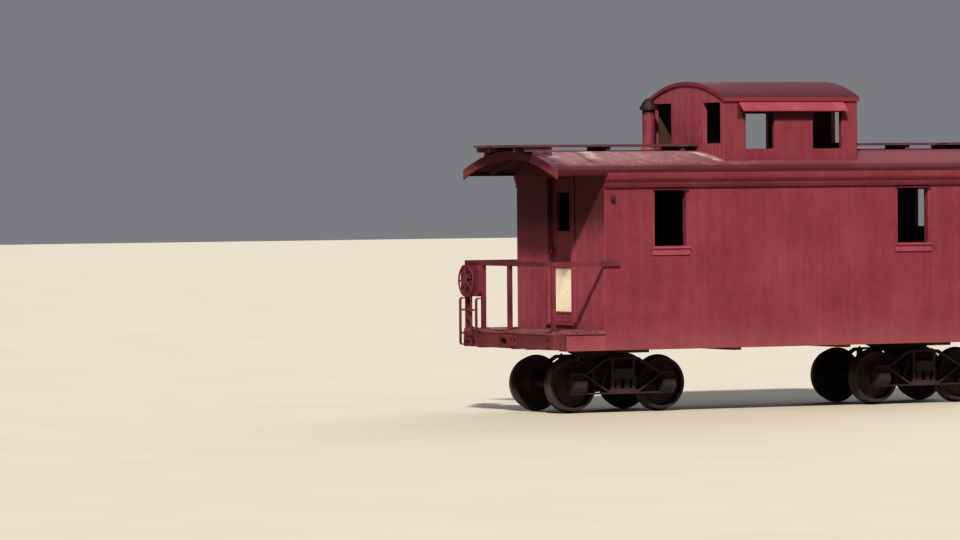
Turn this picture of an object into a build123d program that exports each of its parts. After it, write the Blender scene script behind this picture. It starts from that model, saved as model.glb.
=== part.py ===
from build123d import *
import os

# A wooden narrow-gauge cupola caboose, in millimetres.
# X runs along the car, with the end that carries the smoke jack at -X.
# Y runs across it, with the near side at -Y. Z is up from the floor that the wheel flanges stand on.

# Wheels and axles
gauge = 914
tread_diameter = 660
flange_height = 25
flange_thickness = 29
rim_width = 127
rim_depth = 45
gauge_play = 5
hub_radius = 98
hub_length = 138
hub_setback = 12
plate_thickness = 26
plate_dish = 22
axle_radius = 55
wheel_seat_radius = 62
journal_radius = 40
journal_play = 0.1

# Truck side frames
truck_spacing = 4420
wheelbase = 1265
journal_offset = 191
arch_bar_width = 90
arch_bar_thickness = 25
bar_bend = 45
bar_rise = 72
crest_half = 215
tie_bar_thickness = 20
column_width = 36
column_foot = 18
column_gap = 6
box_length = 190
box_width = 170
box_height = 200
box_wall = 38
box_nose = 14
lid_margin = 18
lid_thickness = 8
lid_hinge_radius = 11

# Truck bolsters, springs and brakes
bolster_half_width = 125
bolster_depth = 200
bolster_taper = 70
bolster_overhang = 12
bolster_belly = 30
belly_start = 200
plank_thickness = 22
spring_height = 118
spring_radius = 52
spring_wire = 9
spring_spread = 62
spring_turns = 5
center_plate_radius = 150
center_plate_height = 20
seat_gap = 0.3
king_pin_radius = 22
king_pin_play = 1
side_bearing_y = 480
side_bearing_size = (130, 90)
side_bearing_rise = 12
side_bearing_gap = 6
shoe_gap = 6
shoe_thickness = 44
shoe_width = 76
shoe_height = 190
brake_bar_radius = 26
brake_bar_lap = 10
hanger_thickness = 12
hanger_width = 42

# Underframe
body_length = 5430
body_width = 2286
platform_depth = 757
sill_depth = 205
sill_width = 110
siding_thickness = 22
end_sill_depth = 180
end_sill_past = 57
end_sill_rise = 20
end_sill_corner = 12
center_sill_width = 110
center_sill_offset = 195
floor_thickness = 45
nosing = 18
deck_lip = 10
body_bolster_half = 130
body_bolster_depth = 134.7
body_bolster_end = 34
bolster_shoulder = 570
needle_beam_x = 800
needle_beam_width = 90
needle_beam_drop = 32
brake_cylinder_radius = 100
brake_cylinder_length = 330
brake_cylinder_x = -330
cylinder_head = 20
cylinder_lip = 8
push_rod_radius = 20
push_rod_length = 300
reservoir_radius = 118
reservoir_length = 760
reservoir_head = 50
reservoir_strap_x = 240
hanger_gap = 13

# Walls
wall_thickness = 90
wall_height = 1992
window_x = 1772
window_width = 450
window_height = 692
window_drop = 42
sill_board = 112
sill_reach = 42
sill_lip = 20
drip_cap_reach = 34
trim_past = 45
letterboard_depth = 223
letterboard_thickness = 20
bead_height = 26
bead_reach = 14

# Doors
door_width = 600
door_height = 1800
door_gap = 7
door_thickness = 40
threshold_rise = 85
threshold_width = 700
threshold_height = 32
threshold_reach = 30
casing_width = 80
casing_thickness = 16
door_window = (330, 480)
door_window_drop = 420
door_panel = (480, 545)
door_panel_rise = 400
door_panel_recess = 14
door_panel_thickness = 10
door_panel_play = 0.5
door_moulding = 24
door_moulding_height = 7
knob_radius = 27
knob_reach = 52
knob_inset = 55
hinge_offset = 9
hinge_radius = 8
hinge_pin_radius = 4
hinge_length = 80
hinge_leaf = 44
hinge_play = 0.3
hinge_inset = 160

# Main roof
eave_overhang = 92
roof_overhang = 723
roof_rise = 238
roof_thickness = 40
fascia_height = 74
fascia_thickness = 24
end_board_height = 105
carline_width = 46
carline_depth = 70

# Roof walks
walk_rise = 45
walk_thickness = 30
walk_boards = 3
walk_board_width = 181
walk_board_gap = 9
walk_end_half = 690
walk_end_depth = 420
walk_end_boards = 3
walk_reach = 137
walk_cleat = 60

# Cupola
cupola_length = 1944
cupola_offset = 100
cupola_half_width = 940
cupola_height = 655
cupola_rise = 210
cupola_wall = 60
cupola_roof_thickness = 46
cupola_roof_lip = 25
cupola_side_windows = (-453, 532)
cupola_side_window = (420, 459)
cupola_side_sill = 8
cupola_end_window_y = 622
cupola_end_window = (430, 512)
cupola_end_sill = 80
hood_length = 1530
hood_reach = 120
hood_drop = 130
hood_thickness = 22

# Platform railings, hand brakes and boarding ladders
rail_height = 855
rail_bar = 60
post_width = 50
post_inset = 9
post_foot = 90
post_foot_thickness = 10
side_rail_thickness = 30
side_rail_past = 190
brake_y = 920
brake_case_height = 390
brake_case_depth = 58
brake_case_corner = 70
brake_boss = 24
brake_boss_taper = 30
brake_wheel_gap = 52
brake_wheel_radius = 205
brake_rim_radius = 12
brake_hub_radius = 30
brake_spokes = 5
brake_spoke_width = 26
brake_spoke_thickness = 12
brake_rod_radius = 16
ladder_standoff = 72
ladder_foot = 24
ladder_bend = 30
stile_width = 44
stile_thickness = 14
rung_radius = 11
rungs = 2

# Fittings
pocket_width = 260
pocket_flange = 14
pocket_body = 196
pocket_depth = 62
pocket_slot = (150, 64)
pocket_inset = 10
pocket_corner = 20
pin_bore_radius = 19
bracket_width = 40
bracket_inset = 112
bracket_reach = 52
bracket_drop = 154
bracket_plate = 8
bracket_above = 30
bracket_below = 45
bracket_arm = 12
bracket_taper = 4
bracket_corner = 6
tongue_height = 55
tongue_thickness = 8
jack_setback = 188
jack_y = 660
jack_radius = 82
jack_height = 660
jack_cap = 150
locker_inset = 100
locker_depth = 520
locker_height = 1150
seat_length = 460
seat_thickness = 90
seat_spread = 260

# Worked out from the sizes above: running gear
tread_radius = tread_diameter / 2
axle_height = flange_height + tread_radius
truck_x = truck_spacing / 2
frame_y = gauge / 2 + journal_offset
box_bottom = axle_height - box_height / 2
box_top = axle_height + box_height / 2
plank_bottom = box_bottom + arch_bar_thickness
plank_top = plank_bottom + plank_thickness
bolster_bottom = plank_top + spring_height
bolster_top = bolster_bottom + bolster_depth
bar_crest = bolster_top + bar_rise
center_plate_top = bolster_top + center_plate_height
body_bolster_bottom = center_plate_top + seat_gap + center_plate_height
column_x = bolster_half_width + column_gap

# Worked out: underframe and walls
sill_bottom = body_bolster_bottom + body_bolster_depth
sill_top = sill_bottom + sill_depth
floor_top = sill_top + floor_thickness
body_half = body_length / 2
side_half = body_width / 2
end_sill_face = body_half + platform_depth
end_sill_half = side_half + end_sill_past
sill_end = end_sill_face - end_sill_depth
sill_outer = side_half - siding_thickness
sill_inner = sill_outer - sill_width
wall_inner = side_half - wall_thickness
door_bottom = floor_top + threshold_rise
door_top = door_bottom + door_height

# Worked out: roofs
roof_half_width = side_half + eave_overhang
roof_half = body_half + roof_overhang
roof_eave = floor_top + wall_height
roof_ridge = roof_eave + roof_rise
roof_radius = (roof_half_width**2 + roof_rise**2) / (2 * roof_rise)
roof_center = roof_ridge - roof_radius
letterboard_bottom = roof_eave - letterboard_depth
window_top = letterboard_bottom - window_drop
window_bottom = window_top - window_height
cupola_left = cupola_offset - cupola_length / 2
cupola_right = cupola_offset + cupola_length / 2
jack_x = cupola_left - jack_setback
locker_length = cupola_length - 2 * locker_inset
cupola_eave = roof_ridge + cupola_height
cupola_ridge = cupola_eave + cupola_rise
cupola_roof_half = cupola_half_width + cupola_roof_lip
cupola_radius = (cupola_roof_half**2 + cupola_rise**2) / (2 * cupola_rise)
cupola_center = cupola_ridge - cupola_radius

ends = (("left", -1), ("right", 1))
sides = (("near", -1), ("far", 1))
axles = (("wheelset_1", -truck_x - wheelbase / 2), ("wheelset_2", -truck_x + wheelbase / 2),
         ("wheelset_3", truck_x - wheelbase / 2), ("wheelset_4", truck_x + wheelbase / 2))

os.makedirs("parts", exist_ok=True)


def keep(piece, name):
    """Labels one finished piece and writes it."""
    piece.part.label = name
    export_step(piece.part, f"parts/{name}.step")


def along_side(y):
    """A drawing plane that faces the near side, with X to the right and Z up."""
    return Plane((0, y, 0), x_dir=(1, 0, 0), z_dir=(0, -1, 0))


def across(x):
    """A drawing plane across the car, with Y to the right and Z up."""
    return Plane((x, 0, 0), x_dir=(0, 1, 0), z_dir=(1, 0, 0))


def under_roof(radius, center):
    """The space below an arched roof of this radius, for trimming what stands up to it."""
    with BuildPart(mode=Mode.PRIVATE) as space:
        with BuildSketch(across(0)):
            with Locations((0, center)):
                Circle(radius)
        extrude(amount=roof_half, both=True)
    return space.part


def arch_shell(outer, center, thickness, half_width):
    """An arched section of this thickness, drawn on the current cross plane."""
    with Locations((0, center)):
        Circle(outer)
        Circle(outer - thickness, mode=Mode.SUBTRACT)
    with Locations((0, center + outer)):
        Rectangle(2 * half_width, outer, mode=Mode.INTERSECT)


main_space = under_roof(roof_radius - roof_thickness - seat_gap, roof_center)
main_solid = under_roof(roof_radius + seat_gap, roof_center)
cupola_space = under_roof(cupola_radius - cupola_roof_thickness - seat_gap, cupola_center)

# Wheelsets: an axle with its two wheels, turned as one profile about the axle
wheel_back = gauge / 2 - gauge_play - flange_thickness
wheel_face = wheel_back + rim_width
hub_back = wheel_back - hub_setback
hub_face = hub_back + hub_length
rim_inner = tread_radius - rim_depth
plate_foot = wheel_back + plate_thickness
plate_middle = hub_radius + (rim_inner - hub_radius) / 3
box_back = frame_y - box_width / 2
axle_end = box_back + box_width - box_wall - 4
journal_start = box_back - 8
for name, x in axles:
    with BuildPart() as wheelset:
        with BuildSketch(Plane((x, 0, axle_height), x_dir=(0, 1, 0), z_dir=(1, 0, 0))):
            with BuildLine():
                Polyline(
                    (0, 0), (0, axle_radius), (hub_back, axle_radius), (hub_back, hub_radius),
                    (plate_foot, hub_radius), (plate_foot + plate_dish, plate_middle),
                    (plate_foot + 8, rim_inner - 8), (wheel_back, rim_inner),
                    (wheel_back, tread_radius + flange_height - 9),
                    (wheel_back + 9, tread_radius + flange_height),
                    (wheel_back + 18, tread_radius + flange_height - 4),
                    (wheel_back + flange_thickness + 6, tread_radius),
                    (wheel_face - 6, tread_radius - 4), (wheel_face, tread_radius - 10),
                    (wheel_face, rim_inner), (plate_foot + plate_thickness + 8, rim_inner - 8),
                    (plate_foot + plate_thickness + plate_dish, plate_middle),
                    (hub_face - 24, hub_radius), (hub_face, hub_radius - 8),
                    (hub_face, wheel_seat_radius), (journal_start, wheel_seat_radius),
                    (journal_start, journal_radius), (axle_end, journal_radius), (axle_end, 0), close=True)
            make_face()
        revolve(axis=Axis((x, 0, axle_height), (0, 1, 0)))
        mirror(about=Plane.XZ)
    keep(wheelset, name)

# Truck side frames: two bent arch bars and a straight tie bar between the journal boxes, with two columns
bar_end = wheelbase / 2 + box_length / 2
bar_seat = wheelbase / 2 - box_length / 2 - 10
half_bar = arch_bar_thickness / 2
top_seat = box_top + arch_bar_thickness + half_bar
bar_lines = (
    (top_seat, bar_crest - half_bar),
    (box_top + half_bar, box_bottom + half_bar))
box_nose_y = frame_y + box_width / 2 + box_nose
for end, way in ends:
    middle = way * truck_x
    for side, hand in sides:
        with BuildPart() as side_frame:
            frame_plane = Plane((middle, hand * frame_y, 0), x_dir=(1, 0, 0), z_dir=(0, -1, 0))
            for seat_z, crest_z in bar_lines:
                with BuildSketch(frame_plane):
                    with BuildLine():
                        FilletPolyline((-bar_end, seat_z), (-bar_seat, seat_z), (-crest_half, crest_z),
                                       (crest_half, crest_z), (bar_seat, seat_z), (bar_end, seat_z),
                                       radius=bar_bend)
                    trace(line_width=arch_bar_thickness)
                extrude(amount=arch_bar_width / 2, both=True)
            with BuildSketch(frame_plane):
                with Locations((0, box_bottom - tie_bar_thickness / 2)):
                    Rectangle(2 * bar_end, tie_bar_thickness)
                column_top = bar_crest - arch_bar_thickness
                foot_width = column_width + column_foot
                for step in (-1, 1):
                    with Locations((step * (column_x + column_width / 2), (plank_bottom + column_top) / 2)):
                        Rectangle(column_width, column_top - plank_bottom)
                    foot_x = step * (column_x + foot_width / 2)
                    with Locations((foot_x, column_top - column_foot / 2),
                                   (foot_x, plank_bottom + column_foot / 2)):
                        Rectangle(foot_width, column_foot)
            extrude(amount=arch_bar_width / 2, both=True)
            # Journal boxes, each with a sloping lid that hangs on a hinge barrel
            for box_x in (-wheelbase / 2, wheelbase / 2):
                box_plane = Plane((middle + box_x, 0, axle_height), x_dir=(0, hand, 0), z_dir=(hand, 0, 0))
                with BuildSketch(box_plane):
                    with BuildLine():
                        Polyline((box_back, -box_height / 2), (box_nose_y - 44, -box_height / 2),
                                 (box_nose_y, -box_height / 4), (box_nose_y, box_height / 4),
                                 (box_nose_y - 32, box_height / 2), (box_back, box_height / 2), close=True)
                    make_face()
                extrude(amount=box_length / 2, both=True)
                with BuildSketch(box_plane):
                    with BuildLine():
                        Polyline((box_nose_y, lid_margin - box_height / 4), (box_nose_y + lid_thickness,
                                 lid_margin - box_height / 4), (box_nose_y + lid_thickness, box_height / 4),
                                 (box_nose_y - 32 + lid_thickness, box_height / 2 - lid_margin / 2),
                                 (box_nose_y - 32, box_height / 2 - lid_margin), (box_nose_y, box_height / 4),
                                 close=True)
                    make_face()
                extrude(amount=box_length / 2 - lid_margin, both=True)
                with BuildSketch(box_plane):
                    with Locations((box_nose_y - 32, box_height / 2 - lid_hinge_radius / 2)):
                        Circle(lid_hinge_radius)
                extrude(amount=box_length / 4, both=True)
                with BuildSketch(Plane((middle + box_x, hand * box_back, axle_height),
                                       x_dir=(1, 0, 0), z_dir=(0, hand, 0))):
                    Circle(journal_radius + journal_play)
                extrude(amount=box_width - box_wall, mode=Mode.SUBTRACT)
        keep(side_frame, f"truck_{end}_frame_{side}")

# Truck bolsters, each with its center plate and two side bearings
beam_end = frame_y + arch_bar_width / 2 + bolster_overhang
plate_shoulder = center_plate_radius + 60
side_bearing_top = body_bolster_bottom - side_bearing_rise
for end, way in ends:
    middle = way * truck_x
    with BuildPart() as bolster:
        with BuildSketch(across(middle)):
            with BuildLine():
                belly = bolster_bottom - bolster_belly
                Polyline(
                    (-beam_end, bolster_bottom), (-beam_end, bolster_top - bolster_taper),
                    (-plate_shoulder, bolster_top), (plate_shoulder, bolster_top),
                    (beam_end, bolster_top - bolster_taper), (beam_end, bolster_bottom),
                    (frame_y - arch_bar_width, bolster_bottom), (frame_y - belly_start, belly),
                    (belly_start - frame_y, belly), (arch_bar_width - frame_y, bolster_bottom), close=True)
            make_face()
        extrude(amount=bolster_half_width, both=True)
        with BuildSketch(across(middle)):
            with Locations((-side_bearing_y, (bolster_bottom + side_bearing_top) / 2),
                           (side_bearing_y, (bolster_bottom + side_bearing_top) / 2)):
                Rectangle(side_bearing_size[1], side_bearing_top - bolster_bottom)
        extrude(amount=side_bearing_size[0] / 2, both=True)
        with BuildSketch(Plane((middle, 0, bolster_top))):
            Circle(center_plate_radius)
        extrude(amount=center_plate_height)
        with BuildSketch(Plane((middle, 0, bolster_bottom - 40))):
            Circle(king_pin_radius + king_pin_play)
        extrude(amount=center_plate_top - bolster_bottom + 60, mode=Mode.SUBTRACT)
    keep(bolster, f"truck_{end}_bolster")

    # Spring plank with the coiled springs that carry the bolster
    with BuildPart() as springs:
        with BuildSketch(Plane((middle, 0, plank_bottom))):
            Rectangle(2 * column_x, 2 * frame_y + arch_bar_width)
        extrude(amount=plank_thickness)
        coil = spring_height / spring_turns
        for hand in (-1, 1):
            for step in (-1, 1):
                spring_x = middle + step * spring_spread
                spring_y = hand * frame_y
                with BuildSketch(Plane((spring_x, spring_y, plank_top), x_dir=(1, 0, 0), z_dir=(0, -1, 0))):
                    with BuildLine():
                        outline = [(0, 0), (0, spring_height), (spring_radius - spring_wire, spring_height)]
                        for turn in range(spring_turns):
                            top = spring_height - turn * coil
                            outline += [(spring_radius, top - coil * 0.25),
                                    (spring_radius, top - coil * 0.65),
                                    (spring_radius - spring_wire, top - coil)]
                        Polyline(*outline, close=True)
                    make_face()
                revolve(axis=Axis((spring_x, spring_y, 0), (0, 0, 1)))
    keep(springs, f"truck_{end}_springs")

    # Brake beams: a bar between each wheelset and the bolster, with its shoes and hangers
    with BuildPart() as brakes:
        shoe_radius = tread_radius + shoe_gap
        bar_x = wheelbase / 2 - shoe_radius - shoe_thickness - brake_bar_radius + brake_bar_lap
        hanger_y = frame_y - arch_bar_width / 2
        hanger_foot = brake_bar_radius + 4
        hanger_head = bar_crest - arch_bar_width
        for step in (-1, 1):
            axle_x = middle + step * wheelbase / 2
            bar_plane = Plane((middle + step * bar_x, 0, axle_height), x_dir=(1, 0, 0), z_dir=(0, 1, 0))
            with BuildSketch(bar_plane):
                Circle(brake_bar_radius)
            extrude(amount=hanger_y, both=True)
            for hand in (-1, 1):
                shoe_y = hand * (wheel_back + flange_thickness + (rim_width - flange_thickness) / 2)
                shoe_plane = Plane((axle_x, shoe_y, axle_height), x_dir=(-step, 0, 0), z_dir=(0, step, 0))
                with BuildSketch(shoe_plane):
                    Circle(shoe_radius + shoe_thickness)
                    Circle(shoe_radius, mode=Mode.SUBTRACT)
                    with Locations((shoe_radius, 0)):
                        Rectangle(4 * shoe_thickness, shoe_height, mode=Mode.INTERSECT)
                extrude(amount=shoe_width / 2, both=True)
                with BuildSketch(Plane((middle, hand * hanger_y, 0), x_dir=(1, 0, 0), z_dir=(0, -1, 0))):
                    with BuildLine():
                        foot = step * bar_x
                        head = step * (column_x + column_width / 2)
                        half = hanger_width / 2
                        Polyline((foot - half, axle_height - hanger_foot),
                                 (foot + half, axle_height - hanger_foot),
                                 (foot + half, axle_height + half), (head + half, hanger_head),
                                 (head - half, hanger_head), (foot - half, axle_height + half), close=True)
                    make_face()
                extrude(amount=hand * hanger_thickness)
    keep(brakes, f"truck_{end}_brakes")

# Underframe: side sills with the skirt boards of the platforms, center sills and end sills
with BuildPart() as side_sills:
    for side, hand in sides:
        with BuildSketch(Plane.XY.offset(sill_bottom)):
            with Locations((0, hand * (sill_inner + sill_outer) / 2)):
                Rectangle(2 * sill_end, sill_width)
            with Locations((-(body_half + sill_end) / 2, hand * (side_half - siding_thickness / 2)),
                           ((body_half + sill_end) / 2, hand * (side_half - siding_thickness / 2))):
                Rectangle(sill_end - body_half, siding_thickness)
        extrude(amount=sill_depth)
keep(side_sills, "side_sills")

with BuildPart() as center_sills:
    with BuildSketch(Plane.XY.offset(sill_bottom)):
        with Locations((0, -center_sill_offset), (0, center_sill_offset)):
            Rectangle(2 * sill_end, center_sill_width)
    extrude(amount=sill_depth)
keep(center_sills, "center_sills")

for end, way in ends:
    with BuildPart() as end_sill:
        with BuildSketch(Plane.XY.offset(sill_bottom + end_sill_rise)):
            with Locations((way * (end_sill_face - end_sill_depth / 2), 0)):
                Rectangle(end_sill_depth, 2 * end_sill_half)
        extrude(amount=sill_depth - end_sill_rise)
        chamfer(end_sill.edges().filter_by(Axis.Z), end_sill_corner)
    keep(end_sill, f"end_sill_{end}")

# Body bolsters under the sills, with center plates, side bearings and the king pins that the trucks turn on
shoulder_z = sill_bottom - body_bolster_end - 20
with BuildPart() as body_bolsters:
    for end, way in ends:
        with BuildSketch(across(way * truck_x)):
            with BuildLine():
                Polyline((-sill_outer, sill_bottom), (-sill_outer, sill_bottom - body_bolster_end),
                         (-bolster_shoulder, shoulder_z), (-center_plate_radius - 80, body_bolster_bottom),
                         (center_plate_radius + 80, body_bolster_bottom), (bolster_shoulder, shoulder_z),
                         (sill_outer, sill_bottom - body_bolster_end), (sill_outer, sill_bottom), close=True)
            make_face()
        extrude(amount=body_bolster_half, both=True)
        bearing_low = side_bearing_top + side_bearing_gap
        with BuildSketch(across(way * truck_x)):
            with Locations((-side_bearing_y, (bearing_low + sill_bottom) / 2),
                           (side_bearing_y, (bearing_low + sill_bottom) / 2)):
                Rectangle(side_bearing_size[1], sill_bottom - bearing_low)
        extrude(amount=side_bearing_size[0] / 2, both=True)
        with BuildSketch(Plane((way * truck_x, 0, center_plate_top + seat_gap))):
            Circle(center_plate_radius)
        extrude(amount=center_plate_height)
        with BuildSketch(Plane((way * truck_x, 0, bolster_bottom - 20))):
            Circle(king_pin_radius)
        extrude(amount=body_bolster_bottom - bolster_bottom + 30)
keep(body_bolsters, "body_bolsters")

with BuildPart() as needle_beams:
    with BuildSketch(Plane.XY.offset(sill_bottom)):
        with Locations((-needle_beam_x, 0), (needle_beam_x, 0)):
            Rectangle(needle_beam_width, 2 * sill_outer)
    extrude(amount=-needle_beam_drop)
keep(needle_beams, "needle_beams")

# Brake cylinder and air reservoir, hung under the floor between the sills
cylinder_y = -(center_sill_offset + center_sill_width / 2 + sill_inner) / 2
cylinder_z = sill_top - brake_cylinder_radius - hanger_gap
rod_start = brake_cylinder_x + brake_cylinder_length
with BuildPart() as brake_cylinder:
    for start, length, radius in (
            (brake_cylinder_x, brake_cylinder_length, brake_cylinder_radius),
            (brake_cylinder_x - cylinder_head, cylinder_head, brake_cylinder_radius + cylinder_lip),
            (rod_start, cylinder_head, brake_cylinder_radius + cylinder_lip),
            (rod_start + cylinder_head, push_rod_length, push_rod_radius)):
        with BuildSketch(Plane((start, cylinder_y, cylinder_z), x_dir=(0, 1, 0), z_dir=(1, 0, 0))):
            Circle(radius)
        extrude(amount=length)
    with BuildSketch(Plane.XY.offset(sill_top)):
        with Locations((brake_cylinder_x + brake_cylinder_length / 2, cylinder_y)):
            Rectangle(brake_cylinder_length * 2 / 3, brake_cylinder_radius)
    extrude(amount=-2 * hanger_gap - cylinder_lip)
keep(brake_cylinder, "brake_cylinder")

reservoir_z = sill_top - reservoir_radius - hanger_gap
reservoir_half = reservoir_length / 2
with BuildPart() as reservoir:
    with BuildSketch(Plane((0, -cylinder_y, reservoir_z), x_dir=(1, 0, 0), z_dir=(0, -1, 0))):
        with BuildLine():
            head = ((0.06, 0.5), (0.34, 0.8), (1.0, 1.0))
            dome = [(reservoir_half - share * reservoir_head, up * reservoir_radius) for share, up in head]
            Polyline((-reservoir_half, 0), (reservoir_half, 0), *dome, *[(-x, up) for x, up in dome[::-1]],
                     close=True)
        make_face()
    revolve(axis=Axis((0, -cylinder_y, reservoir_z), (1, 0, 0)))
    with BuildSketch(Plane.XY.offset(sill_top)):
        with Locations((-reservoir_strap_x, -cylinder_y), (reservoir_strap_x, -cylinder_y)):
            Rectangle(reservoir_head, reservoir_radius * 1.6)
    extrude(amount=-reservoir_radius / 2)
keep(reservoir, "air_reservoir")

# Floor deck: boards over the whole underframe, with a nosing along the platforms
deck_end = end_sill_face + deck_lip
with BuildPart() as floor_deck:
    with BuildSketch(Plane.XY.offset(sill_top)):
        Rectangle(body_length, 2 * wall_inner)
        with Locations((-(body_half + deck_end) / 2, 0), ((body_half + deck_end) / 2, 0)):
            Rectangle(deck_end - body_half, 2 * (side_half + nosing))
    extrude(amount=floor_thickness)
keep(floor_deck, "floor_deck")

# Side walls, each one thick panel with two windows and the siding carried down over the sill
for side, hand in sides:
    with BuildPart() as side_wall:
        with BuildSketch(along_side(hand * side_half)):
            with Locations((0, (sill_top + roof_ridge) / 2)):
                Rectangle(body_length, roof_ridge - sill_top)
            with Locations((-window_x, window_bottom + window_height / 2),
                           (window_x, window_bottom + window_height / 2)):
                Rectangle(window_width, window_height, mode=Mode.SUBTRACT)
        extrude(amount=hand * wall_thickness)
        with BuildSketch(along_side(hand * side_half)):
            with Locations((0, (sill_bottom + sill_top) / 2)):
                Rectangle(body_length, sill_depth)
        extrude(amount=hand * siding_thickness)
        add(main_space, mode=Mode.INTERSECT)
    keep(side_wall, f"side_wall_{side}")

# End walls between the side walls, with a cased doorway over a raised threshold and the door's hinge pins
hinge_heights = (door_bottom + hinge_inset, door_bottom + door_height / 2,
                 door_top - hinge_inset - hinge_length)
hinge_y = door_width / 2 + door_gap / 2
opening_width = door_width + 2 * door_gap
opening_height = door_height + 2 * door_gap
for end, way in ends:
    hinge_x = way * (body_half - wall_thickness - hinge_offset)
    with BuildPart() as end_wall:
        with BuildSketch(across(way * body_half)):
            with Locations((0, (floor_top + roof_ridge) / 2)):
                Rectangle(2 * wall_inner, roof_ridge - floor_top)
            with Locations((0, (door_bottom + door_top) / 2)):
                Rectangle(opening_width, opening_height, mode=Mode.SUBTRACT)
        extrude(amount=-way * wall_thickness)
        with BuildSketch(across(way * body_half)):
            with Locations((0, (door_bottom + door_top + casing_width) / 2)):
                Rectangle(opening_width + 2 * casing_width, opening_height + casing_width)
            with Locations((0, (door_bottom + door_top) / 2)):
                Rectangle(opening_width, opening_height, mode=Mode.SUBTRACT)
        extrude(amount=way * casing_thickness)
        with BuildSketch(across(way * body_half)):
            with Locations((0, door_bottom - door_gap - threshold_height / 2)):
                Rectangle(threshold_width, threshold_height)
        extrude(amount=way * threshold_reach)
        for height in hinge_heights:
            with BuildSketch(Plane((hinge_x, way * hinge_y, height - hinge_length))):
                Circle(hinge_pin_radius)
            extrude(amount=3 * hinge_length)
            for knuckle in (height - hinge_length / 2 - hinge_play, height + hinge_length + hinge_play):
                with BuildSketch(Plane((hinge_x, way * hinge_y, knuckle))):
                    Circle(hinge_radius)
                    with Locations((way * hinge_offset / 2, way * hinge_leaf / 2)):
                        Rectangle(hinge_offset, hinge_leaf)
                extrude(amount=hinge_length / 2)
        add(main_space, mode=Mode.INTERSECT)
    keep(end_wall, f"end_wall_{end}")

# Letterboards under the eaves, with a bead along their lower edge
board_face = side_half + letterboard_thickness
with BuildPart() as letterboards:
    for side, hand in sides:
        with BuildSketch(across(0)):
            with BuildLine():
                Polyline((hand * side_half, letterboard_bottom),
                         (hand * (board_face + bead_reach), letterboard_bottom),
                         (hand * (board_face + bead_reach), letterboard_bottom + bead_height),
                         (hand * board_face, letterboard_bottom + bead_height + bead_reach / 2),
                         (hand * board_face, roof_ridge), (hand * side_half, roof_ridge), close=True)
            make_face()
        extrude(amount=body_half, both=True)
    add(main_space, mode=Mode.INTERSECT)
keep(letterboards, "letterboards")

# Main roof: an arched deck with a well for the cupola, and carlines under its overhangs
with BuildPart() as roof:
    with BuildSketch(across(0)):
        arch_shell(roof_radius, roof_center, roof_thickness, roof_half_width)
    extrude(amount=roof_half - fascia_thickness, both=True)
    with BuildSketch(Plane.XY.offset(roof_eave - roof_rise)):
        with Locations((cupola_offset, 0)):
            Rectangle(cupola_length - 2 * cupola_wall, 2 * (cupola_half_width - cupola_wall))
    extrude(amount=3 * roof_rise, mode=Mode.SUBTRACT)
    for carline_x in (body_half + roof_overhang / 2, -body_half - roof_overhang / 2):
        with BuildSketch(across(carline_x)):
            arch_shell(roof_radius - roof_thickness / 2, roof_center, carline_depth, side_half)
        extrude(amount=carline_width / 2, both=True)
keep(roof, "roof")

# Eave fascias along the sides, and arched boards across the roof's ends
with BuildPart() as fascias:
    for side, hand in sides:
        with BuildSketch(across(0)):
            with Locations((hand * (roof_half_width - fascia_thickness / 2), roof_eave)):
                Rectangle(fascia_thickness, 2 * fascia_height)
        extrude(amount=roof_half - fascia_thickness, both=True)
    add(main_space, mode=Mode.INTERSECT)
keep(fascias, "eave_fascias")

for end, way in ends:
    with BuildPart() as end_board:
        with BuildSketch(across(way * (roof_half - fascia_thickness))):
            arch_shell(roof_radius, roof_center, end_board_height, roof_half_width)
        extrude(amount=way * fascia_thickness)
    keep(end_board, f"roof_end_{end}")

# Roof walks: three boards on cleats from each roof end to the cupola, beside short cross boards at the end
walk_bottom = roof_ridge + walk_rise
walk_end = roof_half + walk_reach
walk_half = (walk_boards * (walk_board_width + walk_board_gap) - walk_board_gap) / 2
wing_width = walk_end_half - walk_half - walk_board_gap
wing_board = (walk_end_depth + walk_board_gap) / walk_end_boards
cleat_end = walk_end_depth / 3
for end, way in ends:
    cupola_face = -cupola_left if way < 0 else cupola_right
    walk_start = cupola_face + walk_board_gap
    with BuildPart() as walk:
        with BuildSketch(Plane.XY.offset(walk_bottom)):
            with Locations((way * (walk_end + walk_start) / 2, 0)):
                with GridLocations(1, walk_board_width + walk_board_gap, 1, walk_boards):
                    Rectangle(walk_end - walk_start, walk_board_width)
            for hand in (-1, 1):
                wing_y = hand * (walk_end_half - wing_width / 2)
                with Locations((way * (walk_end - walk_end_depth / 2), wing_y)):
                    with GridLocations(wing_board, 1, walk_end_boards, 1):
                        Rectangle(wing_board - walk_board_gap, wing_width)
        extrude(amount=walk_thickness)
        with BuildSketch(Plane.XY.offset(walk_bottom)):
            with Locations((way * (roof_half - cleat_end), 0)):
                Rectangle(walk_cleat, 2 * walk_end_half - walk_cleat)
            with Locations((way * (roof_half + cupola_face) / 2, 0),
                           (way * (cupola_face + walk_end_depth / 2), 0)):
                Rectangle(walk_cleat, 2 * walk_half - walk_cleat)
            with Locations((way * (walk_end - walk_end_depth / 2), 0)):
                with GridLocations(1, 2 * walk_end_half - 2 * walk_cleat, 1, 2):
                    Rectangle(walk_end_depth - walk_cleat, walk_cleat)
                with GridLocations(1, 2 * walk_half + 2 * walk_cleat, 1, 2):
                    Rectangle(walk_end_depth - walk_cleat, walk_cleat)
        extrude(amount=-roof_rise)
        add(main_solid, mode=Mode.SUBTRACT)
        with BuildSketch(Plane.XY.offset(roof_eave - roof_rise)):
            with Locations((way * (roof_half + walk_reach), 0)):
                Rectangle(2 * walk_reach, 4 * walk_end_half)
        extrude(amount=walk_bottom - walk_cleat - roof_eave + roof_rise, mode=Mode.SUBTRACT)
    keep(walk, f"roof_walk_{end}")

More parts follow.
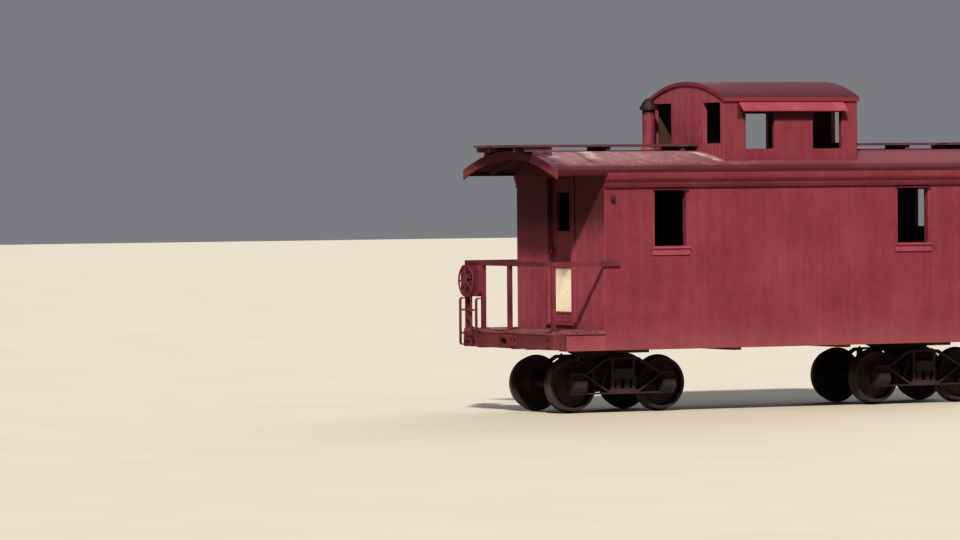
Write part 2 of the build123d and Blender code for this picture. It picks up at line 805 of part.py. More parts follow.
# Cupola: two side walls, two end walls between them, and an arched roof
side_window_z = roof_ridge + cupola_side_sill + cupola_side_window[1] / 2
end_window_z = roof_ridge + cupola_end_sill + cupola_end_window[1] / 2
for side, hand in sides:
    with BuildPart() as cupola_side:
        with BuildSketch(along_side(hand * cupola_half_width)):
            with Locations((cupola_offset, (roof_eave + cupola_ridge) / 2)):
                Rectangle(cupola_length, cupola_ridge - roof_eave)
            with Locations([(cupola_offset + x, side_window_z) for x in cupola_side_windows]):
                Rectangle(*cupola_side_window, mode=Mode.SUBTRACT)
        extrude(amount=hand * cupola_wall)
        add(main_solid, mode=Mode.SUBTRACT)
        add(cupola_space, mode=Mode.INTERSECT)
    keep(cupola_side, f"cupola_side_{side}")

for end, face, way in (("left", cupola_left, -1), ("right", cupola_right, 1)):
    with BuildPart() as cupola_end:
        with BuildSketch(across(face)):
            with Locations((0, (roof_eave + cupola_ridge) / 2)):
                Rectangle(2 * (cupola_half_width - cupola_wall), cupola_ridge - roof_eave)
            with Locations((-cupola_end_window_y, end_window_z), (cupola_end_window_y, end_window_z)):
                Rectangle(*cupola_end_window, mode=Mode.SUBTRACT)
        extrude(amount=-way * cupola_wall)
        add(main_solid, mode=Mode.SUBTRACT)
        add(cupola_space, mode=Mode.INTERSECT)
    keep(cupola_end, f"cupola_end_{end}")

with BuildPart() as cupola_roof:
    with BuildSketch(across(cupola_left - cupola_roof_lip)):
        arch_shell(cupola_radius, cupola_center, cupola_roof_thickness, cupola_roof_half)
    extrude(amount=cupola_length + 2 * cupola_roof_lip)
keep(cupola_roof, "cupola_roof")

# Sloping hoods over the cupola's side windows
hood_top = cupola_eave - cupola_roof_thickness
with BuildPart() as hoods:
    for side, hand in sides:
        with BuildSketch(across(cupola_offset)):
            wall_y = hand * cupola_half_width
            tip_y = hand * (cupola_half_width + hood_reach)
            with BuildLine():
                Polyline((wall_y, hood_top), (tip_y, hood_top - hood_drop + hood_thickness),
                         (tip_y, hood_top - hood_drop), (wall_y, hood_top - 1.4 * hood_thickness), close=True)
            make_face()
        extrude(amount=hood_length / 2, both=True)
keep(hoods, "cupola_hoods")

# Window trim on the body: a sloping sill board under each window and a drip cap over it
with BuildPart() as window_trim:
    for side, hand in sides:
        for x in (-window_x, window_x):
            with BuildSketch(across(x)):
                with BuildLine():
                    sill_tip = hand * (side_half + sill_reach)
                    sill_face = hand * (side_half + sill_lip)
                    Polyline((hand * side_half, window_bottom), (sill_tip, window_bottom - sill_lip / 2),
                             (sill_tip, window_bottom - 1.5 * sill_lip),
                             (sill_face, window_bottom - 2 * sill_lip),
                             (sill_face, window_bottom - sill_board),
                             (hand * side_half, window_bottom - sill_board), close=True)
                make_face()
            extrude(amount=window_width / 2 + trim_past, both=True)
            with BuildSketch(across(x)):
                with BuildLine():
                    cap_tip = hand * (side_half + drip_cap_reach)
                    Polyline((hand * side_half, window_top), (cap_tip, window_top),
                             (cap_tip, window_top + sill_lip / 2),
                             (hand * side_half, window_top + 1.5 * sill_lip), close=True)
                make_face()
            extrude(amount=window_width / 2 + trim_past / 2, both=True)
keep(window_trim, "window_trim")

# Doors that swing in, with a pane's opening and a lower panel, each framed by a raised moulding, and a knob
window_z = door_top - door_window_drop
panel_z = door_bottom + door_panel_rise
knob_z = (window_z + panel_z) / 2
for end, way in ends:
    inner = way * (body_half - wall_thickness)
    outer = inner + way * door_thickness
    hinge_x = inner - way * hinge_offset
    with BuildPart() as door:
        with BuildSketch(across(inner)):
            with Locations((0, (door_bottom + door_top) / 2)):
                Rectangle(door_width, door_height)
            with Locations((0, window_z)):
                Rectangle(*door_window, mode=Mode.SUBTRACT)
        extrude(amount=way * door_thickness)
        with BuildSketch(across(outer)):
            for size, height in ((door_window, window_z), (door_panel, panel_z)):
                with Locations((0, height)):
                    Rectangle(size[0] + 2 * door_moulding, size[1] + 2 * door_moulding)
                    Rectangle(*size, mode=Mode.SUBTRACT)
        extrude(amount=way * door_moulding_height)
        with BuildSketch(across(outer)):
            with Locations((0, panel_z)):
                Rectangle(*door_panel)
        extrude(amount=-way * door_panel_recess, mode=Mode.SUBTRACT)
        knob_y = way * (knob_inset - door_width / 2)
        with BuildSketch(Plane((outer, knob_y, knob_z), x_dir=(1, 0, 0), z_dir=(0, 1, 0))):
            with BuildLine():
                reach = way * knob_reach
                Polyline((-way * door_thickness / 2, 0), (-way * door_thickness / 2, knob_radius),
                         (way * 6, knob_radius), (way * 6, knob_radius / 3), (reach * 0.45, knob_radius / 3),
                         (reach * 0.6, knob_radius), (reach * 0.9, knob_radius), (reach, knob_radius / 2),
                         (reach, 0), close=True)
            make_face()
        revolve(axis=Axis((outer, knob_y, knob_z), (1, 0, 0)))
        for height in hinge_heights:
            with BuildSketch(Plane((hinge_x, way * hinge_y, height))):
                Circle(hinge_radius)
                with Locations((way * (hinge_offset / 2), -way * hinge_leaf / 2)):
                    Rectangle(hinge_offset, hinge_leaf)
                Circle(hinge_pin_radius + hinge_play, mode=Mode.SUBTRACT)
            extrude(amount=hinge_length)
    keep(door, f"door_{end}")
    with BuildPart() as panel:
        with BuildSketch(across(outer - way * door_panel_recess)):
            with Locations((0, panel_z)):
                Rectangle(door_panel[0] - 2 * door_panel_play, door_panel[1] - 2 * door_panel_play)
        extrude(amount=way * door_panel_thickness)
    keep(panel, f"door_panel_{end}")

# Platform railings: an end rail on footed posts, and a side rail from each corner post to the body
rail_top = floor_top + rail_height
rail_low = rail_top - rail_bar
post_x = end_sill_face - post_inset - post_width / 2
post_y = side_half + nosing - post_width / 2
side_rail_y = side_half + nosing
side_rail_start = body_half - side_rail_past
for end, way in ends:
    brake_post_y = -way * (2 * brake_y - post_y)
    with BuildPart() as railing:
        for size, height in ((post_width, rail_low - floor_top), (post_foot, post_foot_thickness)):
            inward = (size - post_width) / 2
            foot_x = way * (post_x - inward)
            with BuildSketch(Plane.XY.offset(floor_top)):
                with Locations((foot_x, inward - post_y), (foot_x, post_y - inward), (foot_x, 0),
                               (foot_x, brake_post_y)):
                    Rectangle(size, size)
            extrude(amount=height)
        with BuildSketch(Plane.XY.offset(rail_low)):
            with Locations((way * post_x, 0)):
                Rectangle(post_width, 2 * post_y + post_width)
        extrude(amount=rail_bar)
        with BuildSketch(Plane.XY.offset(rail_low)):
            for hand in (-1, 1):
                with Locations((way * (post_x + side_rail_start) / 2, hand * side_rail_y)):
                    Rectangle(post_x + post_width / 2 - side_rail_start, side_rail_thickness)
                block_x = way * (side_rail_start + rail_bar / 2)
                with Locations((block_x, hand * (side_half + side_rail_y) / 2)):
                    Rectangle(rail_bar, side_rail_y - side_half)
        extrude(amount=rail_bar)
    keep(railing, f"railing_{end}")

# Short boarding ladders from the end sill to the posts under the hand brake's case
rail_face = post_x + post_width / 2
case_low = rail_low - brake_case_height
ladder_x = end_sill_face + ladder_standoff
ladder_bottom = sill_bottom + end_sill_rise + ladder_foot
ladder_top = case_low - ladder_foot
for end, way in ends:
    mid_y = -way * brake_y
    with BuildPart() as ladder:
        for stile_y in (mid_y - (post_y - brake_y), mid_y + (post_y - brake_y)):
            with BuildSketch(Plane((0, stile_y, 0), x_dir=(1, 0, 0), z_dir=(0, -1, 0))):
                with BuildLine():
                    FilletPolyline((way * end_sill_face, ladder_bottom), (way * ladder_x, ladder_bottom),
                                   (way * ladder_x, ladder_top), (way * rail_face, ladder_top),
                                   radius=ladder_bend)
                trace(line_width=stile_thickness)
            extrude(amount=stile_width / 2, both=True)
        for rung in range(rungs):
            rung_z = ladder_bottom + (rung + 0.5) * (ladder_top - ladder_bottom) / rungs
            with BuildSketch(Plane((way * ladder_x, mid_y, rung_z), x_dir=(1, 0, 0), z_dir=(0, 1, 0))):
                Circle(rung_radius)
            extrude(amount=post_y - brake_y, both=True)
    keep(ladder, f"ladder_{end}")

# Hand brakes: a geared case on two posts, with an upright spoked wheel and a rod down to the end sill
case_face = rail_face + brake_case_depth
wheel_plane_x = case_face + brake_wheel_gap
brake_wheel_z = rail_low - brake_case_height / 2
rod_x = rail_face + brake_case_depth * 0.7
for end, way in ends:
    mid_y = -way * brake_y
    with BuildPart() as hand_brake:
        with BuildSketch(across(way * rail_face)):
            with Locations((mid_y, brake_wheel_z)):
                RectangleRounded(2 * (post_y - brake_y) + post_width, brake_case_height, brake_case_corner)
        extrude(amount=way * brake_case_depth)
        with BuildSketch(across(way * case_face)):
            with Locations((mid_y, brake_wheel_z)):
                Circle(brake_hub_radius * 2)
        extrude(amount=way * brake_boss, taper=brake_boss_taper)
        with BuildSketch(across(way * case_face)):
            with Locations((mid_y, brake_wheel_z)):
                Circle(brake_hub_radius)
        extrude(amount=way * (brake_wheel_gap + brake_rim_radius))
        wheel_center = (way * wheel_plane_x, mid_y, brake_wheel_z)
        with BuildSketch(Plane(wheel_center, x_dir=(0, 1, 0), z_dir=(0, 0, 1))):
            with Locations((brake_wheel_radius - brake_rim_radius, 0)):
                RegularPolygon(brake_rim_radius, 8)
        revolve(axis=Axis(wheel_center, (1, 0, 0)))
        with BuildSketch(across(way * (wheel_plane_x - brake_spoke_thickness / 2))):
            with Locations((mid_y, brake_wheel_z)):
                with PolarLocations(0, brake_spokes):
                    with Locations((brake_wheel_radius / 2, 0)):
                        Rectangle(brake_wheel_radius - brake_rim_radius, brake_spoke_width)
        extrude(amount=way * brake_spoke_thickness)
        with BuildSketch(Plane((way * rod_x, mid_y, ladder_bottom))):
            Circle(brake_rod_radius)
        extrude(amount=case_low - ladder_bottom + brake_case_corner)
        with BuildSketch(Plane.XY.offset(ladder_bottom + brake_rod_radius)):
            with Locations((way * (end_sill_face + rod_x) / 2, mid_y)):
                Rectangle(rod_x - end_sill_face, 4 * brake_rod_radius)
        extrude(amount=brake_rod_radius)
    keep(hand_brake, f"hand_brake_{end}")

# Drawbar pockets: a striking casting on each end sill, with a slot and its pin hole
pocket_bottom = sill_bottom + end_sill_rise + pocket_inset
pocket_top = sill_top - pocket_inset
for end, way in ends:
    with BuildPart() as pocket:
        with BuildSketch(across(way * end_sill_face)):
            with Locations((0, (pocket_bottom + pocket_top) / 2)):
                RectangleRounded(pocket_width, pocket_top - pocket_bottom, pocket_corner)
        extrude(amount=way * pocket_flange)
        with BuildSketch(across(way * end_sill_face)):
            with Locations((0, (pocket_bottom + pocket_top) / 2)):
                Rectangle(pocket_body, pocket_top - pocket_bottom)
        extrude(amount=way * pocket_depth)
        with BuildSketch(across(way * (end_sill_face + pocket_depth))):
            with Locations((0, (pocket_bottom + pocket_top) / 2)):
                Rectangle(*pocket_slot)
        extrude(amount=-way * (pocket_depth - 8), mode=Mode.SUBTRACT)
        with BuildSketch(Plane.XY.offset(pocket_bottom)):
            with Locations((way * (end_sill_face + pocket_depth / 2), 0)):
                Circle(pin_bore_radius)
        extrude(amount=pocket_top - pocket_bottom, mode=Mode.SUBTRACT)
    keep(pocket, f"drawbar_pocket_{end}")

# Lamp brackets near the body's corners: a plate on the siding, an arm and an upright tongue
bracket_z = letterboard_bottom - bracket_drop
with BuildPart() as lamp_brackets:
    for side, hand in sides:
        for end, way in ends:
            with BuildSketch(across(way * (body_half - bracket_inset))):
                with BuildLine():
                    tip = side_half + bracket_reach
                    plate = side_half + bracket_plate
                    tongue = tip - tongue_thickness
                    Polyline((hand * side_half, bracket_z - bracket_below),
                             (hand * plate, bracket_z - bracket_below),
                             (hand * (plate + bracket_corner), bracket_z - bracket_arm),
                             (hand * tip, bracket_z - bracket_arm + bracket_taper),
                             (hand * tip, bracket_z + tongue_height),
                             (hand * tongue, bracket_z + tongue_height),
                             (hand * tongue, bracket_z), (hand * plate, bracket_z),
                             (hand * plate, bracket_z + bracket_above),
                             (hand * side_half, bracket_z + bracket_above), close=True)
                make_face()
            extrude(amount=bracket_width / 2, both=True)
keep(lamp_brackets, "lamp_brackets")

# Stove with its pipe, and the smoke jack that carries on above the roof
stove_profile = ((0, 0), (150, 0), (150, 25), (120, 60), (150, 150), (205, 300), (205, 420), (165, 560),
                 (190, 600), (190, 625), (60, 650), (60, wall_height + roof_rise),
                 (0, wall_height + roof_rise))
with BuildPart() as stove:
    with BuildSketch(Plane((jack_x, jack_y, floor_top), x_dir=(1, 0, 0), z_dir=(0, -1, 0))):
        with BuildLine():
            Polyline(*stove_profile, close=True)
        make_face()
    revolve(axis=Axis((jack_x, jack_y, 0), (0, 0, 1)))
    add(main_space, mode=Mode.INTERSECT)
keep(stove, "stove")

jack_top = roof_ridge + jack_height
cap_low = jack_top - jack_cap
collar = jack_radius + 55
with BuildPart() as smoke_jack:
    with BuildSketch(Plane((jack_x, jack_y, 0), x_dir=(1, 0, 0), z_dir=(0, -1, 0))):
        with BuildLine():
            Polyline((0, roof_eave), (collar, roof_eave), (collar, roof_ridge - 40),
                     (jack_radius, roof_ridge + 40), (jack_radius, cap_low),
                     (jack_radius + 34, cap_low + 6), (jack_radius + 30, cap_low + 40),
                     (jack_radius - 20, jack_top - 30), (30, jack_top), (0, jack_top), close=True)
        make_face()
    revolve(axis=Axis((jack_x, jack_y, 0), (0, 0, 1)))
    add(main_solid, mode=Mode.SUBTRACT)
keep(smoke_jack, "smoke_jack")

# Lockers under the cupola that carry the crew's raised seats
locker_y = wall_inner - locker_depth / 2
for side, hand in sides:
    with BuildPart() as locker:
        with BuildSketch(Plane.XY.offset(floor_top)):
            with Locations((cupola_offset, hand * locker_y)):
                Rectangle(locker_length, locker_depth)
        extrude(amount=locker_height)
        with BuildSketch(Plane.XY.offset(floor_top + locker_height)):
            with Locations((cupola_offset - seat_spread, hand * locker_y),
                           (cupola_offset + seat_spread, hand * locker_y)):
                Rectangle(seat_length, locker_depth - seat_thickness)
        extrude(amount=seat_thickness)
    keep(locker, f"locker_{side}")
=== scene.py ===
# %% [markdown]
# A red wooden caboose
#
# The solid model already holds every timber, wheel and window opening of this car at its real size.
# What it lacks is the surface: narrow boards, planks, bolts, and paint that the sun has bleached.
# This lesson adds those, one piece and one finish at a time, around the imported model.
# All lengths are in metres, X runs along the car, and the near side is at -Y.

import math
import random

import bmesh
import bpy
from mathutils import Matrix, Vector


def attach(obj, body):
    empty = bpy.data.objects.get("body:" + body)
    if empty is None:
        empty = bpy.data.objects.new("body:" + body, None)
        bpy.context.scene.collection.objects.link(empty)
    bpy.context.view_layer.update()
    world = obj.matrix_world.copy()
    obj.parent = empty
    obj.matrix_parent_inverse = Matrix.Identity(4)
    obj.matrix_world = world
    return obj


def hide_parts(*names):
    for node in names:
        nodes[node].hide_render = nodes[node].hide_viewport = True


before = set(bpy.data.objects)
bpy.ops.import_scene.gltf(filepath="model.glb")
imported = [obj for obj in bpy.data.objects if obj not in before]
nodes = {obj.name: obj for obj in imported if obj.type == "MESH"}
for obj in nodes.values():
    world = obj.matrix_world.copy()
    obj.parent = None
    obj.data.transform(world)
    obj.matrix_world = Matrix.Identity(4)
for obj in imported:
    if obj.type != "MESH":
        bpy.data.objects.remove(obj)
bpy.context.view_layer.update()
scene = bpy.context.scene
X, Y, Z = range(3)

# %% [markdown]
# The camera
#
# The photograph was taken from far off with a long lens, a little above the platform's height.
# A camera can be placed by hand until it looks right, or worked out from known points.
# Here its place, its three angles and its focal length come from such a fit, and the lens is
# worked out from the focal length in pixels, so that the render frames the car as the photograph does.

# %% Camera from the fitted view
picture_width = 960
focal_pixels = 5850.6
sensor_width = 36.0
furthest_seen = 500
camera_place = Vector((-37.76, -64.474, 3.077))
yaw, pitch, roll = (math.radians(angle) for angle in (27.738, -1.007, -0.435))

forward = Vector((math.sin(yaw) * math.cos(pitch), math.cos(yaw) * math.cos(pitch), math.sin(pitch)))
level = Vector((math.cos(yaw), -math.sin(yaw), 0))
upright = level.cross(forward)
right = math.cos(roll) * level + math.sin(roll) * upright
up = math.cos(roll) * upright - math.sin(roll) * level

lens = bpy.data.cameras.new("photo_camera")
lens.sensor_width = sensor_width
lens.lens = focal_pixels * sensor_width / picture_width
lens.clip_end = furthest_seen
camera = bpy.data.objects.new("photo_camera", lens)
scene.collection.objects.link(camera)
turn = Matrix((right, up, -forward)).transposed().to_4x4()
camera.matrix_world = Matrix.Translation(camera_place) @ turn
scene.camera = camera
print("lens", round(lens.lens, 1), "mm")

# %% [markdown]
# The studio
#
# The car stands on a plain pale floor under an even sky. One lamp stands where the sun stood, high
# on the left and in front, so the platform's end is as deep in shade as in the photograph. A weak
# and very soft lamp from behind on the right lets the two sides that the sun misses be read too.
# Old film has strong contrast, so the picture is shown with a steeper curve than a plain one.

# %% Floor, sky and lamp
floor_half = 160.0
sky_colour = (0.80, 0.82, 0.86, 1)
sky_strength = 0.24
sun_travel = Vector((1.0, 1.535, -1.58))
sun_strength = 3.4
sun_spread = math.radians(4)
sun_colour = (1.0, 0.95, 0.87)
fill_travel = Vector((-1.0, -0.9, -0.55))
fill_strength = 0.8
fill_spread = math.radians(40)
fill_colour = (0.86, 0.92, 1.0)
scene.view_settings.view_transform = "Standard"
scene.view_settings.look = "High Contrast"

ground = bmesh.new()
bmesh.ops.create_grid(ground, x_segments=1, y_segments=1, size=floor_half)
floor_mesh = bpy.data.meshes.new("studio_floor")
ground.to_mesh(floor_mesh)
ground.free()
studio_floor = bpy.data.objects.new("studio_floor", floor_mesh)
scene.collection.objects.link(studio_floor)

world = bpy.data.worlds.new("studio_sky")
world.use_nodes = True
world.node_tree.nodes["Background"].inputs["Color"].default_value = sky_colour
world.node_tree.nodes["Background"].inputs["Strength"].default_value = sky_strength
scene.world = world


def soft_lamp(name, travel, strength, spread, colour):
    """A far lamp that shines along one direction. spread is how wide it looks, which softens shadows."""
    data = bpy.data.lights.new(name, "SUN")
    data.energy = strength
    data.angle = spread
    data.color = colour
    lamp = bpy.data.objects.new(name, data)
    lamp.rotation_euler = travel.to_track_quat("-Z", "Y").to_euler()
    scene.collection.objects.link(lamp)


soft_lamp("soft_sun", sun_travel, sun_strength, sun_spread, sun_colour)
soft_lamp("soft_fill", fill_travel, fill_strength, fill_spread, fill_colour)
print("sun height", round(math.degrees(math.asin(-sun_travel.normalized().z)), 1), "degrees")

# %% [markdown]
# Shader maths as plain sums
#
# A finish is a tree of nodes, and adding each node by hand hides the idea behind it.
# So a small class wraps one socket and adds a Math node whenever two of them meet in a sum.
# One method of the finish makes every other kind of node.

# %% A socket that can be added and multiplied
class Wire:
    """One output of a finish's node tree."""

    def __init__(self, finish, socket):
        self.finish = finish
        self.socket = socket

    def maths(self, operation, *values, clamp=False):
        """One Math node on these values."""
        settings = {"operation": operation, "use_clamp": clamp}
        return self.finish.node("ShaderNodeMath", settings, dict(enumerate(values)))

    def __add__(self, other):
        return self.maths("ADD", self, other)

    __radd__ = __add__

    def __sub__(self, other):
        return self.maths("SUBTRACT", self, other)

    def __rsub__(self, other):
        return self.maths("SUBTRACT", other, self)

    def __mul__(self, other):
        return self.maths("MULTIPLY", self, other)

    __rmul__ = __mul__

    def __truediv__(self, other):
        return self.maths("DIVIDE", self, other)

    def clamp(self):
        """The value held between 0 and 1."""
        return self.maths("ADD", self, 0.0, clamp=True)

    def floor(self):
        return self.maths("FLOOR", self)

    def root(self):
        return self.maths("SQRT", self)

    def size(self):
        """The value without its sign."""
        return self.maths("ABSOLUTE", self)

    def over(self, low, high):
        """0 below low, 1 above high, and smooth between."""
        values = {"Value": self, "From Min": low, "From Max": high}
        return self.finish.node("ShaderNodeMapRange", {"interpolation_type": "SMOOTHSTEP"}, values)


# %% A finish and its nodes
class Finish:
    """A material whose colour, roughness and bump are worked out from the object's own coordinates."""

    def __init__(self, name):
        self.material = bpy.data.materials.new(name)
        self.material.use_nodes = True
        self.tree = self.material.node_tree
        self.shader = self.tree.nodes["Principled BSDF"]
        self.place = self.node("ShaderNodeTexCoord", out="Object")
        axes = self.node("ShaderNodeSeparateXYZ", {}, {0: self.place}, out=None)
        self.x, self.y, self.z = (Wire(self, axes.outputs[axis]) for axis in "XYZ")

    def node(self, kind, settings=None, values=None, out=0):
        """A node with its settings and inputs. out names its output, or is None for the node itself."""
        made = self.tree.nodes.new(kind)
        for name, value in (settings or {}).items():
            setattr(made, name, value)
        for name, value in (values or {}).items():
            if isinstance(value, Wire):
                self.tree.links.new(value.socket, made.inputs[name])
            else:
                made.inputs[name].default_value = value
        return made if out is None else Wire(self, made.outputs[out])

    def stretched(self, stretch):
        """The object's coordinates, with each axis multiplied."""
        return self.node("ShaderNodeMapping", {}, {"Vector": self.place, "Scale": stretch})

    def noise(self, scale, stretch=(1, 1, 1), detail=4.0, rough=0.55):
        """Noise from 0 to 1, with this many spots to the metre before the stretch."""
        values = {"Vector": self.stretched(stretch), "Scale": scale, "Detail": detail, "Roughness": rough}
        return self.node("ShaderNodeTexNoise", {}, values)

    def chance(self, number):
        """A steady random value for each whole number."""
        return self.node("ShaderNodeTexWhiteNoise", {"noise_dimensions": "1D"}, {"W": number})

    def mix(self, low, high, share):
        """The colour low where the share is 0, and high where it is 1."""
        settings = {"data_type": "RGBA", "clamp_factor": True}
        return self.node("ShaderNodeMix", settings, {0: share, 6: low, 7: high}, out=2)

    def link(self, socket, value):
        self.tree.links.new(value.socket, self.shader.inputs[socket])

    def colour(self, value):
        self.link("Base Color", value)

    def roughness(self, value):
        self.link("Roughness", value)

    def bump(self, height, depth):
        """Height from 0 to 1 stands this many metres deep. It comes last, and gives the material back."""
        self.link("Normal", self.node("ShaderNodeBump", {}, {"Height": height, "Distance": depth}))
        return self.material


def tone(red, green, blue):
    """A colour read from the photograph as 0 to 255, as the linear values that a shader takes."""
    values = [channel / 255 for channel in (red, green, blue)]
    return (*[v / 12.92 if v < 0.04045 else ((v + 0.055) / 1.055) ** 2.4 for v in values], 1)


print("colours are linear, such as", [round(v, 3) for v in tone(139, 58, 68)])

# %% [markdown]
# Sun-bleached red paint on boards
#
# Old oxide red goes pink and chalky where the sun reaches it.
# Each board weathers by itself, so a random value for each board shifts its tone a little.
# Slow noise makes the cloudy patches, long thin noise the rain streaks, and sharp noise the chips.
# Painted shade darkens the paint at the top of the end walls, round the upper ends of the window
# trim, under the cupola's hoods and on the eaves past the walls. Paler tones on the ends, the hoods
# and the window trim are painted light.
# The walls' inner faces have the cabin's own paint. They are part of the same solid, so a mask on
# the distance from the middle of the car tells the two sides of a wall apart.

# %% Sun-bleached red paint on boards
board_pitch = 0.0823
wall_end, wall_half = 2.715, 1.143
wall_start = {X: -wall_end, Y: -wall_half}
cupola_middle = 0.1
side_lining, end_lining = 1.055, 2.628
cupola_side_lining, cupola_end_lining = 0.882, 0.914
red = tone(128, 54, 69)
red_deep = tone(117, 48, 62)
red_pale = tone(148, 86, 98)
# The dark red of the painted shade under overhangs.
red_kept = tone(74, 18, 26)
bare_wood = tone(128, 104, 94)
dust = tone(156, 104, 96)
cabin_brown = tone(84, 66, 58)


def red_boards(name, along, numbered=X, shades=(red_deep, red, red_pale), low_dust=0.3,
               kept_above=None, kept_within=None, kept_beyond=None, inside=None):
    """Faded red paint. along is the grain's axis, and numbered the axis that the boards are counted on.
    shades go from deep to pale, and low_dust is how much dust lies on the lowest part.
    kept_above is (height, reach): from there up the colour goes towards a dark red that is painted
    shade, and kept_within, (middle, half), limits that to one stretch of X. Further out than
    kept_beyond the painted shade is dark as well.
    inside is (axis, middle, distance): what lies nearer to the middle than that is cabin paint."""
    paint = Finish(name)
    thin = [7.0, 7.0, 7.0]
    thin[along] = 0.5
    clouds = paint.noise(1.1, detail=3.0)
    mottle = paint.noise(9.0, detail=5.0, rough=0.65)
    streaks = paint.noise(2.2, stretch=thin, detail=3.0)
    grain = paint.noise(26.0, stretch=[0.04 if axis == along else 1.0 for axis in range(3)], detail=3.0)
    place = (paint.x, paint.y)[numbered]
    board = paint.chance(((place - wall_start[numbered]) / board_pitch).floor())
    fade = (clouds * 0.5 + streaks * 0.35 + mottle * 0.25 + board * 0.08 - 0.04).over(0.40, 0.90)
    coat = paint.mix(shades[0], shades[1], (mottle * 0.6 + clouds * 0.5).over(0.22, 0.74))
    coat = paint.mix(coat, shades[2], fade * 0.55)
    low = 1 - (paint.z + streaks * 0.25).over(0.85, 1.35)
    coat = paint.mix(coat, dust, low * low_dust)
    chipped = paint.noise(34.0, stretch=thin, detail=6.0, rough=0.7).over(0.70, 0.74)
    coat = paint.mix(coat, bare_wood, chipped * 0.7)
    # Painted shade: under an overhang the colour goes towards a dark red that stands in for its shade.
    if kept_above:
        height, reach = kept_above
        kept = (paint.z + clouds * 0.1).over(height, height + reach)
        if kept_within:
            middle, half = kept_within
            kept = kept * (1 - (paint.x - middle).size().over(half, half + 0.03))
        coat = paint.mix(coat, red_kept, kept * 0.85)
    if kept_beyond:
        coat = paint.mix(coat, red_kept, paint.x.size().over(kept_beyond, kept_beyond + 0.02))
    if inside:
        axis, middle, distance = inside
        depth = ((paint.x, paint.y)[axis] - middle).size()
        coat = paint.mix(cabin_brown, coat, depth.over(distance, distance + 0.004))
    paint.colour(coat)
    paint.roughness(0.62 + mottle * 0.25)
    return paint.bump(grain * 0.7 + mottle * 0.3 - chipped * 0.6, 0.0016)


side_boards = red_boards("red_side_boards", along=Z, inside=(Y, 0.0, side_lining))
# Painted shade under the cupola's window hoods.
cupola_boards = red_boards("red_cupola_boards", along=Z, kept_above=(3.69, 0.03),
                           kept_within=(cupola_middle, 0.765), inside=(Y, 0.0, cupola_side_lining))
# Paler tones, painted light, that brighten the body's and the cupola's ends, the hoods and the window trim
# as sunlight would.
painted_light_tones = (tone(128, 58, 73), tone(150, 72, 87), tone(168, 106, 116))
# Painted shade at the tops of the end walls.
end_boards = red_boards("red_end_boards", along=Z, numbered=Y, shades=painted_light_tones, kept_above=(2.1, 0.5),
                        inside=(X, 0.0, end_lining))
cupola_end_boards = red_boards("cupola_end_boards", along=Z, numbered=Y, shades=painted_light_tones,
                               inside=(X, cupola_middle, cupola_end_lining))
long_timber = red_boards("red_long_timber", along=X, low_dust=0.0)
skirt_shades = (tone(124, 56, 71), tone(144, 68, 83), tone(162, 98, 110))
skirt_timber = red_boards("skirt_timber", along=X, shades=skirt_shades)
# Painted shade on the eaves past the walls.
eave_timber = red_boards("eave_timber", along=X, low_dust=0.0, kept_beyond=2.70)
# The hoods take the paler tones as painted light.
painted_light_timber = red_boards("painted_light_timber", along=X, shades=painted_light_tones, low_dust=0.0)
# Painted shade round the upper ends of the window trim.
window_timber = red_boards("window_timber", along=X, shades=painted_light_tones, low_dust=0.0,
                           kept_above=(2.5, 0.2))
# Painted shade on the crown of the roof's end boards, under the roof walk.
cross_timber = red_boards("red_cross_timber", along=Y, numbered=Y, low_dust=0.0,
                          kept_above=(3.04, 0.14))
# The letterboards' darker tones are painted shade under the eave.
letterboard_shade_tones = (tone(82, 30, 42), tone(100, 38, 52), tone(122, 62, 74))
letterboard_painted_shade = red_boards("letterboard_painted_shade", along=X, shades=letterboard_shade_tones, low_dust=0.0)
print("board pitch", board_pitch, "m")

# %% [markdown]
# The sills' older paint
#
# The end sills and the frame under the floor kept an older and browner coat, with road dirt on it.
# The same helper makes it from three other shades.

# %% Frame paint
frame_shades = (tone(79, 31, 42), tone(104, 42, 55), tone(128, 64, 76))
sill_paint = red_boards("sill_paint", along=Y, numbered=Y, shades=frame_shades, low_dust=0.15)
under_paint = red_boards("underframe_paint", along=X, shades=frame_shades, low_dust=0.4)
print("frame paint", len(frame_shades), "shades")

# %% [markdown]
# The roof
#
# The roof lies full in the sun. Its paint has gone chalky, almost cream towards the left end and
# redder towards the right. Two dark streaks and three pale ones run down the near slope.
# A streak is the distance from a slanting line, so it is worked out from X and Y alone. A painted
# shade darkens the covering along the eave, and the way that a face points chooses between three
# colours: up is the covering, sideways the rim, and down the underside, which is painted shade.

# %% Roof paint
chalk = tone(142, 106, 112)
roof_rose = tone(128, 78, 88)
roof_red = tone(120, 62, 74)
# Painted shade on the roof's underside and along its eave.
roof_underside_shade = tone(66, 22, 28)
eave_shade = tone(84, 30, 42)
# The colour of the two dark streaks.
streak_dark = tone(62, 44, 66)
pale_paint = tone(204, 184, 172)
# Each streak is its start in X and in Y, the Y of its foot, its slant in X and its width
dark_streak_lines = ((-3.34, -0.50, -1.30, -0.05, 0.17), (-2.70, -0.42, -1.02, 0.139, 0.085))
pale_lines = ((-3.09, -0.35, -0.72, 0.22, 0.11), (-2.54, -0.30, -0.84, 0.25, 0.15),
              (-1.04, -0.45, -0.93, -0.19, 0.10))


def slope_streak(paint, line, wobble):
    """1 along one slanting line down the near slope, from its start to its foot, fading at its sides."""
    start_x, start_y, foot_y, slant, width = line
    off = paint.x - (paint.y - start_y) * slant - start_x + (wobble - 0.5) * 0.12
    near = 1 - off.size().over(width * 0.2, width)
    above_foot = paint.y.over(foot_y - 0.08, foot_y + 0.08)
    return near * above_foot * (1 - paint.y.over(start_y - 0.05, start_y + 0.1))


